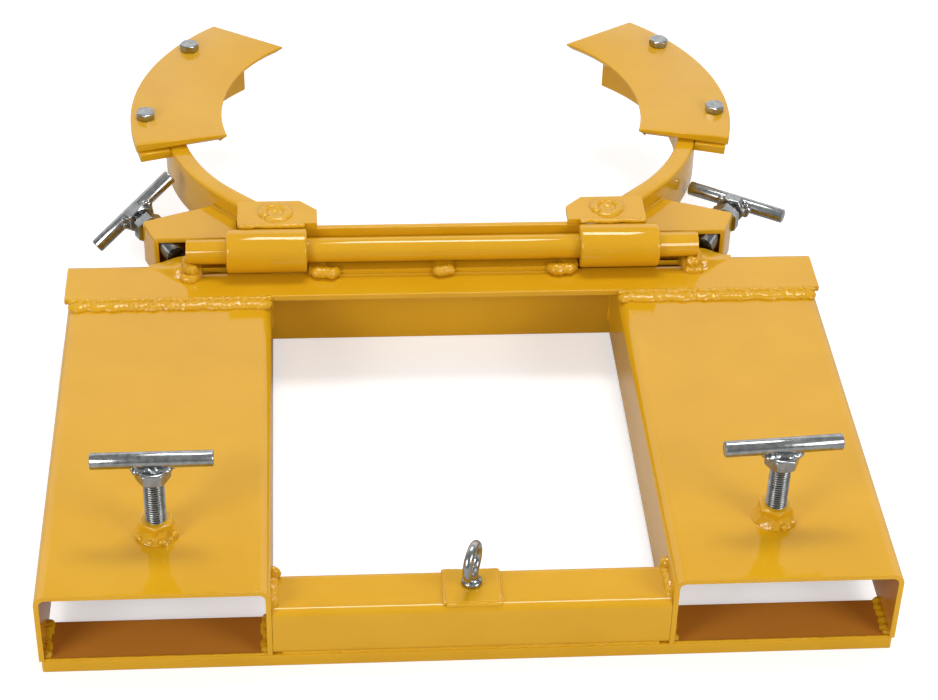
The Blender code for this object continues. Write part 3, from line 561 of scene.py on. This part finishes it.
def jaw_arm(label, side):
    """Band, flange and pad of one arm, as slabs whose edges are rounded for the paint."""
    body = label + "_arm"
    pin = np.array(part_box(label + "_pivot_pin")).mean(0)
    pin = np.array((side * pin[0] / INCH, (pin[1] - NEAR_END) / INCH))
    reach = pin - ARC_CENTRE
    middle = (BAND_INNER + BAND_OUTER) / 2
    lead = math.degrees(math.atan2(reach[1], reach[0]) + math.acos(middle / np.hypot(*reach)))
    eye = plan_arc(pin, EYE_RADIUS, lead + 180, lead + 360, 24)
    outline = np.vstack([plan_arc(ARC_CENTRE, BAND_OUTER, lead, BAND_END, 60),
                         plan_arc(ARC_CENTRE, BAND_INNER, BAND_END, lead, 60), eye])
    node = label + "_jaw_band"
    low, high = frame_level(node, 0), frame_level(node, 1)
    piece(node + "_painted", slab(node, outline, side, low, high, 0.11), body, ENAMEL, node)
    node = label + "_pad_flange"
    outline = np.vstack([plan_arc(ARC_CENTRE, FLANGE_OUTER, FLANGE_START, BAND_END, 50),
                         plan_arc(ARC_CENTRE, BAND_OUTER + SEAM, BAND_END, FLANGE_START, 50)])
    low, high = frame_level(node, 0), frame_level(node, 1)
    piece(node + "_painted", slab(node, outline, side, low, high, 0.07), body, ENAMEL, node)
    # The seam under the flange, along the band's outer face
    line = plan_arc(ARC_CENTRE, BAND_OUTER + 0.03, FLANGE_START + 1, BAND_END - 1, 60)
    line = run(side, *((x, y, low) for x, y in line))
    weld_bead(label + "_flange_weld", body, line, 0.13, seed=11 + side, rough=0.7)
    node = label + "_drum_pad"
    outer = plan_arc(ARC_CENTRE, PAD_OUTER, PAD_START, PAD_END_OUTER, 56)
    inner = plan_arc(PAD_INNER_CENTRE, PAD_INNER, PAD_END_INNER, PAD_START, 56)
    undercut = np.r_[np.zeros(len(outer)), np.ones(len(inner))]
    low, high = frame_level(node, 0), frame_level(node, 1)
    made = slab(node, np.vstack([outer, inner]), side, low, high, 0.035, 3, undercut)
    piece(node + "_painted", made, body, ENAMEL, node)
    return lead


def closing_gear(label):
    """Screw, head and tee bar of one lever, and the runs of weld between bar and head."""
    node = label + "_closing_screw"
    axis = long_axis(node)
    if axis[1] > 0:
        axis = -axis
    start, end, _ = reading(node, axis)
    # Painted shade: the tip in the lever's mouth is darkened over its last 0.12 inch
    threaded(node, start, end, 0.12)
    handle(label + "_closing", -axis)


def handle(stem, axis):
    """A hexagon head with a bar welded across it, seen along the screw's axis towards the bar."""
    node = stem + "_head"
    foot, top, corner = reading(node, axis)
    size = np.linalg.norm(corner)
    along, rim = tee_bar(stem + "_bar")
    # A flat of the head stands square to the bar
    across = np.cross(axis, along)
    hexagon(node, foot, top, size * (along / 2 + across * math.sqrt(3) / 2), ZINC)
    for number, way in enumerate((-1, 1), 1):
        line = [top + way * across * rim * 0.6 + along * size * end for end in (-1.12, 1.12)]
        weld_bead(f"{stem}_weld_{number}", body_of(node), line, 0.17, up=axis, height=0.75,
                  rough=1.5, finish=ZINC, seed=20 + number)
    for number, way in enumerate((-1, 1), 3):
        line = [top + way * along * size * end for end in (0.75, 1.25)]
        weld_bead(f"{stem}_weld_{number}", body_of(node), line, 0.22, up=axis, height=0.7,
                  rough=1.5, finish=ZINC, seed=20 + number)


def clamp_gear(label, side):
    """Fork clamp: thread, head, bar, and the nut with its ring of weld on the pocket."""
    up = np.array((0.0, 0.0, 1.0))
    node = label + "_clamp_screw"
    foot, top, _ = reading(node, up)
    threaded(node, foot, top)
    handle(label + "_clamp", up)
    node = label + "_clamp_nut"
    foot, top, corner = reading(node, up)
    hexagon(node, foot, top, corner, ENAMEL)
    weld_skirt(node + "_weld", foot, np.linalg.norm(corner) / INCH, 31 + side)


def weld_skirt(name, foot, inner, seed):
    """Weld heaped against a nut: a cone that flares to the plate by the square of its fall.

    Radius = inner + flare x fall squared + lumps; its crest rises and sinks round the nut, and crescents
    every RIPPLE inches lean along the run.
    """
    theta = np.linspace(0, 2 * math.pi, 120, endpoint=False)
    fall = np.linspace(0, 1, 26)[:, None]
    run = theta * inner * INCH
    size = 2 * math.pi * inner * INCH
    dice = np.random.default_rng(seed)
    turns = dice.uniform(0, 2 * math.pi, 8)
    crest = sum(np.cos(k * theta + turns[k]) / k for k in range(1, 6)) / 5
    lumps = sum(np.cos(k * theta + turns[k % 8] + 2 * fall) for k in (3, 5, 7, 11)) / 4
    ripple = np.abs(np.sin(math.pi * round(size / (RIPPLE * INCH)) * run / size + 1.6 * fall)) ** 0.6 - 0.6
    level = (0.40 + 0.12 * crest) * (1 - fall ** 1.2)
    radius = inner - 0.06 + 0.2 * fall ** 1.6 + (0.05 * lumps + 0.025 * ripple) * np.sin(0.3 + 2.4 * fall)
    ways = np.stack([np.cos(theta), np.sin(theta)], -1)
    grid = np.concatenate([radius[..., None] * ways, level[..., None]], -1) * INCH + foot
    grid = np.vstack([grid[:1] * (0.9, 0.9, 1) + foot * (0.1, 0.1, 0), grid])
    piece(name, grid_mesh(name, grid, 60), "frame", WELD_ENAMEL)
    for number in range(4):
        turn = dice.uniform(math.radians(190), math.radians(350))
        way = np.array((math.cos(turn), math.sin(turn), 0.0))
        side = np.array((-way[1], way[0], 0.0))
        place = foot + (way * dice.uniform(0.62, 0.78) + (0, 0, dice.uniform(0.06, 0.2))) * INCH
        reach = side * dice.uniform(0.09, 0.16) * INCH
        weld_bead(f"{name}_lump_{number}", "frame", [place - reach, place + reach], 0.11, rough=1.2,
                  seed=seed + number)


def pad_bolts(label):
    up = np.array((0.0, 0.0, 1.0))
    for number in (1, 2):
        node = f"{label}_pad_bolt_{number}"
        foot, top, corner = reading(node, up)
        seat = np.array((foot[0], foot[1], frame_level(label + "_drum_pad", 1) * INCH + SEAM * INCH))
        hexagon(node, seat, top, corner, ZINC)
        tail = [(0, 0.8 * 0.25 * INCH), (0.03 * INCH, 0.25 * INCH), (seat[2] - foot[2], 0.25 * INCH)]
        piece(node + "_shank", turned(node, foot, seat, tail, 24), body_of(node), ZINC)
        node = f"{label}_pad_nut_{number}"
        foot, top, corner = reading(node, up)
        hexagon(node, foot, top, corner, ZINC)


def eye_bolt():
    """A forged eye: a ring of round wire, thicker towards its foot, on a collar with a waisted neck."""
    low, high = (np.array(corner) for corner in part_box("eye_bolt"))
    wire = 0.16 * INCH
    ring = 0.6 * INCH
    centre = np.array(((low[0] + high[0]) / 2, (low[1] + high[1]) / 2, high[2] - ring - wire))
    turn = math.radians(68.0)
    wide = np.array((math.cos(turn), math.sin(turn), 0))
    thick = np.array((-math.sin(turn), math.cos(turn), 0))
    up = np.array((0.0, 0.0, 1.0))
    phi = np.linspace(0, 2 * math.pi, 72, endpoint=False)[:, None, None]
    theta = np.linspace(0, 2 * math.pi, 28, endpoint=False)[None, :, None]
    size = wire * (1 + 0.3 * np.exp(-((phi - 1.5 * math.pi) / 0.35) ** 2))
    radial = wide * np.cos(phi) + up * np.sin(phi)
    grid = centre + radial * (ring + size * np.cos(theta)) + thick * size * np.sin(theta)
    piece("eye_bolt_ring", grid_mesh("eye_bolt_ring", grid, 80, loop=True), "frame", ZINC, "eye_bolt")
    foot = np.array((centre[0], centre[1], low[2]))
    profile = np.array([(0, 0.33), (0.03, 0.36), (0.13, 0.36), (0.17, 0.33), (0.2, 0.27), (0.26, 0.22),
                        (0.34, 0.2), (0.42, 0.17)]) * INCH
    collar = turned("eye_bolt_collar", foot, foot + up * INCH, profile, 48, 60)
    piece("eye_bolt_collar", collar, "frame", ZINC)


def painted_solids():
    """The welded steel pieces keep their solids, with edges rounded for the paint."""
    # Pockets and strap take the enamel with painted shade inside the pockets
    finishes = {"lever_nut": ZINC, "fork_pocket": POCKET_SHADED_ENAMEL, "floor_strap": POCKET_SHADED_ENAMEL}
    drops = {"lever_box": LEVER_DROP}
    widths = {"floor_strap": 0.05, "rear_cross_tube": 0.02, "front_cross_angle": 0.04, "shaft_seat": 0.03,
              "eye_bolt_pad": 0.02, "fork_pocket": 0.03, "top_pivot_plate": 0.04,
              "bottom_pivot_plate": 0.04, "lever_box": 0.075, "lever_nut": 0.03}
    for name in NODES:
        stem = name.split("_", 1)[1] if name.startswith(("left_", "right_")) else name
        if stem in widths:
            softened(name, widths[stem], finishes.get(stem, ENAMEL), drop=drops.get(stem, 0.0))


def hinge_rounds():
    """The shaft, and the two sleeves that turn on it, as profiles turned about the hinge line."""
    across = np.array((1.0, 0.0, 0.0))
    start, end, rim = reading("hinge_shaft", across)
    rim = np.linalg.norm(rim)
    length = end[0] - start[0]
    cut = 0.04 * INCH
    profile = [(0, rim - cut), (0.3 * cut, rim - 0.3 * cut), (cut, rim), (length - cut, rim),
               (length - 0.3 * cut, rim - 0.3 * cut), (length, rim - cut)]
    piece("hinge_shaft_painted", turned("hinge_shaft_painted", start, end, profile, 72), "frame", ENAMEL,
          "hinge_shaft")
    for label, _ in SIDES:
        node = label + "_hinge_sleeve"
        start, end, outer = reading(node, across)
        outer = np.linalg.norm(outer)
        length = end[0] - start[0]
        round_off = 0.11 * INCH
        turn = np.linspace(0, math.pi / 2, 6)
        rise = round_off * (1 - np.cos(turn))
        fall = outer - round_off * (1 - np.sin(turn))
        bore = rim + SLEEVE_PLAY * INCH
        profile = [(0, bore)] + list(zip(rise, fall)) + list(zip((length - rise)[::-1], fall[::-1]))
        profile.append((length, bore))
        piece(node + "_painted", turned(node, start, end, profile, 96, 50, True), "head", ENAMEL, node)


def saddle(label, side):
    """The wing under the shaft's end, run out into the angle by weld and paint.

    At each place along the hinge line a closed section: a cosine slope up from its near foot, a flat top
    and the far face. Its height and its near foot follow a cosine from the toe to the shaft.
    """
    node = label + "_shaft_saddle"
    low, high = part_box(node)
    toe, root = sorted((abs(low.x), abs(high.x)), reverse=True)
    along = np.linspace(0, 1, 40)
    share = 0.5 - 0.5 * np.cos(math.pi * np.clip(along * 1.45, 0, 1))
    x = side * (toe + 0.12 * INCH + (root - toe - 0.12 * INCH) * along)
    sink = 0.05 * INCH
    height = (sink * 0.6 + (high.z - low.z + sink * 0.4) * share)[:, None]
    foot = (low.y + (0.42 - 0.6 * share) * INCH)[:, None]
    slope = np.linspace(0, 1, 16)
    crown = np.maximum(foot + 0.3 * INCH, low.y + 0.18 * INCH)
    near_y = foot + (crown - foot) * slope
    near_z = low.z - sink + height * (0.5 - 0.5 * np.cos(math.pi * slope))
    far_y = np.broadcast_to(np.array((high.y - 0.03 * INCH, high.y, high.y)), (len(x), 3))
    far_z = low.z - sink + height * np.array((1.0, 0.9, 0.0))
    places = np.concatenate([near_y, far_y], 1), np.concatenate([near_z, far_z], 1)
    grid = np.stack([np.broadcast_to(x[:, None], places[0].shape), *places], -1)
    piece(node + "_painted", grid_mesh(node, grid, 60), "frame", WELD_ENAMEL, node)


def run(side, *places):
    """Places in inches given for the right-hand side, on the side asked for."""
    return [spot(side * x, y, z) for x, y, z in places]


def frame_welds():
    """Runs of weld on the frame: angle on pockets, tube between them, strap, seat and shaft."""
    line = run(1, (-6.6, 0.13, 0.52), (6.6, 0.13, 0.52))
    weld_bead("strap_weld_near", "frame", line, 0.09, seed=3, rough=1.6)
    line = run(1, (-6.6, 1.99, 0.52), (6.6, 1.99, 0.52))
    weld_bead("strap_weld_far", "frame", line, 0.09, seed=4)
    for label, side in SIDES:
        side_welds(label, side, 50 + 7 * side)
    line = run(1, (-0.48, 18.06, 3.96), (0.48, 18.06, 3.96))
    weld_bead("seat_weld_middle", "frame", line, 0.28, height=0.8, rough=1.0, seed=71)
    line = run(1, (-5.2, 18.08, 3.775), (5.2, 18.08, 3.775))
    weld_bead("seat_weld_foot", "frame", line, 0.06, seed=72)
    low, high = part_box("eye_bolt_pad")
    base = low.z
    ring = [(low.x, low.y), (high.x, low.y), (high.x, high.y), (low.x, high.y), (low.x, low.y)]
    weld_bead("eye_pad_weld", "frame", [(x, y, base) for x, y in ring], 0.075, rough=1.3, seed=73)


def side_welds(label, side, seed):
    """The runs of weld that the frame has on both sides."""
    line = run(side, (14.86, 16.58, 3.52), (6.85, 16.58, 3.52))
    weld_bead(label + "_angle_weld", "frame", line, 0.34, height=0.55, rough=0.8, seed=seed)
    line = run(side, (14.86, 16.72, 3.68), (6.85, 16.72, 3.68))
    weld_bead(label + "_angle_weld_crest", "frame", line, 0.11, height=0.9, rough=2.2, seed=seed + 13)
    end = (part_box(label + "_fork_pocket")[1].y - NEAR_END) / INCH + 0.06
    for number, x in enumerate((6.98, 14.72), 1):
        line = run(side, (x, end, 0.7), (x, end, 3.4))
        weld_bead(f"{label}_end_weld_{number}", "frame", line, 0.13, up=(0, 1, 0), rough=1.2,
                  seed=seed + 20 + number)
    # The tube's run starts low on its near face, goes over its top and down its far face
    line = run(side, *((TUBE_SEAM, y, z) for y, z in (
        (0.28, 0.6), (0.28, 2.1), (0.36, 2.4), (0.5, 2.53), (1.85, 2.53), (2.03, 2.3), (2.03, 0.6))))
    weld_bead(label + "_tube_weld", "frame", line, 0.19, up=(side * -1.0, -0.3, 0.2), rough=1.1,
              seed=seed + 2)
    line = run(side, (6.88, 1.55, 2.66), (6.88, 2.05, 2.72))
    weld_bead(label + "_tube_weld_lump", "frame", line, 0.25, seed=seed + 3, rough=1.4)
    line = run(side, (6.9, 0.08, 0.52), (14.8, 0.08, 0.52))
    weld_bead(label + "_strap_end_weld", "frame", line, 0.05, seed=seed + 4)
    for number, x in enumerate((7.12, 14.68), 1):
        line = run(side, (x, 0.12, 0.55), (x, 2.0, 0.55))
        weld_bead(f"{label}_pocket_weld_{number}", "frame", line, 0.16, rough=2.4, seed=seed + 4 + number)
    line = run(side, (5.35, 18.06, 3.96), (4.1, 18.06, 3.96))
    weld_bead(label + "_seat_weld", "frame", line, 0.29, height=0.8, rough=1.0, seed=seed + 8)
    line = run(side, (10.5, 17.98, 3.8), (9.7, 17.98, 3.84))
    weld_bead(label + "_saddle_weld", "frame", line, 0.23, rough=1.5, seed=seed + 9)
    line = run(side, (10.4, 18.14, 4.14), (9.75, 18.14, 4.14))
    weld_bead(label + "_shaft_weld_near", "frame", line, 0.24, rough=1.5, seed=seed + 10)
    line = run(side, (10.35, 19.02, 4.16), (9.8, 19.02, 4.16))
    weld_bead(label + "_shaft_weld_far", "frame", line, 0.12, rough=1.2, seed=seed + 11)
    line = run(side, (10.27, 18.3, 4.2), (10.27, 18.9, 4.2))
    weld_bead(label + "_shaft_end_weld", "frame", line, 0.16, rough=1.5, seed=seed + 12)


def head_welds():
    """Runs of weld on the jaw head, round the pin heads and along the sleeves, and the pins turned with
    domed heads.
    """
    for label, side in SIDES:
        seed = 110 + 9 * side
        top = frame_level(label + "_top_pivot_plate", 1)
        pin = np.array(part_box(label + "_pivot_pin")).mean(0)
        centre = np.array((pin[0], pin[1], top * INCH - 0.02 * INCH))
        weld_bead(label + "_pin_weld", "head", ring_path(centre, 0.5, 40, 368), 0.19, height=0.72, rough=0.8,
                  seed=seed)
        low, high, rim = reading(label + "_pivot_pin", np.array((0.0, 0.0, 1.0)))
        rim = np.linalg.norm(rim)
        length = high[2] - low[2]
        dome = 0.05 * INCH
        profile = [(0, rim - dome), (dome, rim), (length - 1.6 * dome, rim),
                   (length - 0.5 * dome, rim - 0.7 * dome), (length, rim - 2 * dome),
                   (length - 0.3 * dome, 0.4 * rim), (length - dome, 0.3 * rim)]
        node = label + "_pivot_pin"
        piece(node + "_round", turned(node, low, high, profile, 64, 50), "head", ENAMEL, node)
        line = run(side, (5.5, 19.16, top - 0.05), (8.2, 19.16, top - 0.05))
        weld_bead(label + "_sleeve_weld", "head", line, 0.13, height=0.7, rough=1.0, seed=seed + 1)


def back_plate():
    """The plate behind the hinge, carried out under the top plates, with a shelf at its foot."""
    low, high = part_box("head_back_plate")
    near, far = ((level - NEAR_END) / INCH for level in (low.y, high.y))
    foot, crest = low.z / INCH, high.z / INCH
    outer, inner, shelf = high.x / INCH, 5.75, foot + 0.42
    outline = np.array([(-outer, foot), (outer, foot), (outer, shelf), (inner, shelf), (inner, crest),
                        (-inner, crest), (-inner, shelf), (-outer, shelf)])
    plate = slab("back_plate", outline, 1, near, far, 0.04, upright=True)
    piece("head_back_plate_finish", plate, "head", ENAMEL, "head_back_plate")


def lever_welds(label, side, lead):
    low, level = frame_level(label + "_lever_box", 0), frame_level(label + "_lever_box", 1)
    line = plan_arc(ARC_CENTRE, BAND_OUTER + 0.02, lead, LEVER_END, 20)
    way = np.array((math.sin(math.radians(lead)), -math.cos(math.radians(lead))))
    line = np.vstack([line[0] + way * 2.2, line])
    seam = run(side, *((x, y, level - 0.01) for x, y in line))
    weld_bead(label + "_lever_weld", label + "_arm", seam, 0.085, rough=0.9, seed=140 + side)
    x, y = line[-1]
    seam = run(side, (x, y, low + 0.1), (x, y, level))
    weld_bead(label + "_lever_side_weld", label + "_arm", seam, 0.11, up=(0, 1, 0), seed=150 + side)


def camera():
    """The photograph's viewing angle, as a focal length in pixels and three turns."""
    lens = bpy.data.cameras.new("view")
    lens.sensor_width = 36.0
    lens.sensor_fit = "HORIZONTAL"
    lens.lens = FOCAL_PIXELS * lens.sensor_width / IMAGE_WIDTH
    lens.clip_end = 100.0
    made = lone("view", lens)
    level = math.cos(CAMERA_PITCH)
    ahead = Vector((math.sin(CAMERA_YAW) * level, math.cos(CAMERA_YAW) * level, -math.sin(CAMERA_PITCH)))
    right = Vector((math.cos(CAMERA_YAW), -math.sin(CAMERA_YAW), 0))
    up = right.cross(ahead)
    across = right * math.cos(CAMERA_ROLL) + up * math.sin(CAMERA_ROLL)
    upward = up * math.cos(CAMERA_ROLL) - right * math.sin(CAMERA_ROLL)
    turn = Matrix((across, upward, -ahead)).transposed()
    made.matrix_world = Matrix.Translation(CAMERA_PLACE) @ turn.to_4x4()
    bpy.context.scene.camera = made


def softbox(name, place, target, size, watts):
    data = bpy.data.lights.new(name, "AREA")
    data.shape = "RECTANGLE"
    data.size, data.size_y = size
    data.energy = watts
    made = lone(name, data)
    made.location = place
    made.rotation_euler = (Vector(target) - Vector(place)).to_track_quat("-Z", "Y").to_euler()


def floor():
    """A white studio floor; part of its white is seen by the camera only, so the shadow stays soft.

    The lifter mirrors it darker than the camera sees it, which keeps the colour of the front faces deep.
    """
    size = 12.0
    data = bpy.data.meshes.new("studio_floor")
    corners = [(-size, -size, 0), (size, -size, 0), (size, size, 0), (-size, size, 0)]
    data.from_pydata(corners, [], [(0, 1, 2, 3)])
    made = lone("studio_floor", data)
    made.location.z = -0.0003
    paint, tree = new_material("studio_white")
    path = tree.nodes.new("ShaderNodeLightPath")
    seen = path.outputs["Is Camera Ray"]
    plain, mirrored = (0.72, 0.72, 0.72, 1.0), (0.55, 0.55, 0.55, 1.0)
    shade = mix_colour(tree, path.outputs["Is Glossy Ray"], plain, mirrored)
    diffuse = add_node(tree, "ShaderNodeBsdfDiffuse", Color=shade)
    lit = arithmetic(tree, "MULTIPLY", seen, 0.48)
    glow = add_node(tree, "ShaderNodeEmission", Color=(1.0, 1.0, 1.0, 1.0), Strength=lit)
    both = add_node(tree, "ShaderNodeAddShader", i0=diffuse.outputs[0], i1=glow.outputs[0])
    out = tree.nodes.new("ShaderNodeOutputMaterial")
    tree.links.new(both.outputs[0], out.inputs["Surface"])
    data.materials.append(paint)


def world():
    """White to the camera; to everything else a dim studio with one bright wall behind the lifter."""
    sky = bpy.data.worlds.new("studio")
    sky.use_nodes = True
    tree = sky.node_tree
    tree.nodes.clear()
    path = tree.nodes.new("ShaderNodeLightPath")
    seen = arithmetic(tree, "MAXIMUM", path.outputs["Is Camera Ray"], path.outputs["Is Transmission Ray"])
    way = tree.nodes.new("ShaderNodeTexCoord").outputs["Generated"]
    parts = add_node(tree, "ShaderNodeSeparateXYZ", Vector=way)
    room = ramp(tree, parts.outputs["Z"], ((0.0, 0.26), (0.35, 0.32), (0.75, 0.41)))
    # The wall ends about 41 degrees up, so the pockets' tops mirror it all but at their near ends
    wall_top = ramp(tree, parts.outputs["Z"], ((0.0, 1.0), (0.62, 0.95), (0.70, 0.0)))
    wall_side = ramp(tree, parts.outputs["Y"], ((0.25, 0.0), (0.60, 0.85)))
    both = arithmetic(tree, "ADD", room, arithmetic(tree, "MULTIPLY", wall_top, wall_side))
    level = add_node(tree, "ShaderNodeMix", {"data_type": "FLOAT"}, i0=seen, i2=both, i3=1.0)
    back = add_node(tree, "ShaderNodeBackground", Color=(1.0, 1.0, 1.0, 1.0), Strength=level.outputs[0])
    out = tree.nodes.new("ShaderNodeOutputWorld")
    tree.links.new(back.outputs[0], out.inputs["Surface"])
    bpy.context.scene.world = sky


camera()
floor()
world()
softbox("strip_above", (0.13, 0.45, 2.35), (0.0, 0.0, 0.0), (1.1, 0.55), 24.0)
softbox("key", (-1.9, -1.9, 1.3), (0.0, 0.0, 0.0), (1.2, 1.0), 36.0)
softbox("fill", (1.9, -1.9, 1.3), (0.0, 0.0, 0.0), (1.2, 1.0), 33.0)

painted_solids()
hinge_rounds()
eye_bolt()
frame_welds()
head_welds()
back_plate()
for label, side in SIDES:
    lever_welds(label, side, jaw_arm(label, side))
    saddle(label, side)
    closing_gear(label)
    clamp_gear(label, side)
    pad_bolts(label)

view = bpy.context.scene.view_settings
view.view_transform = "Standard"
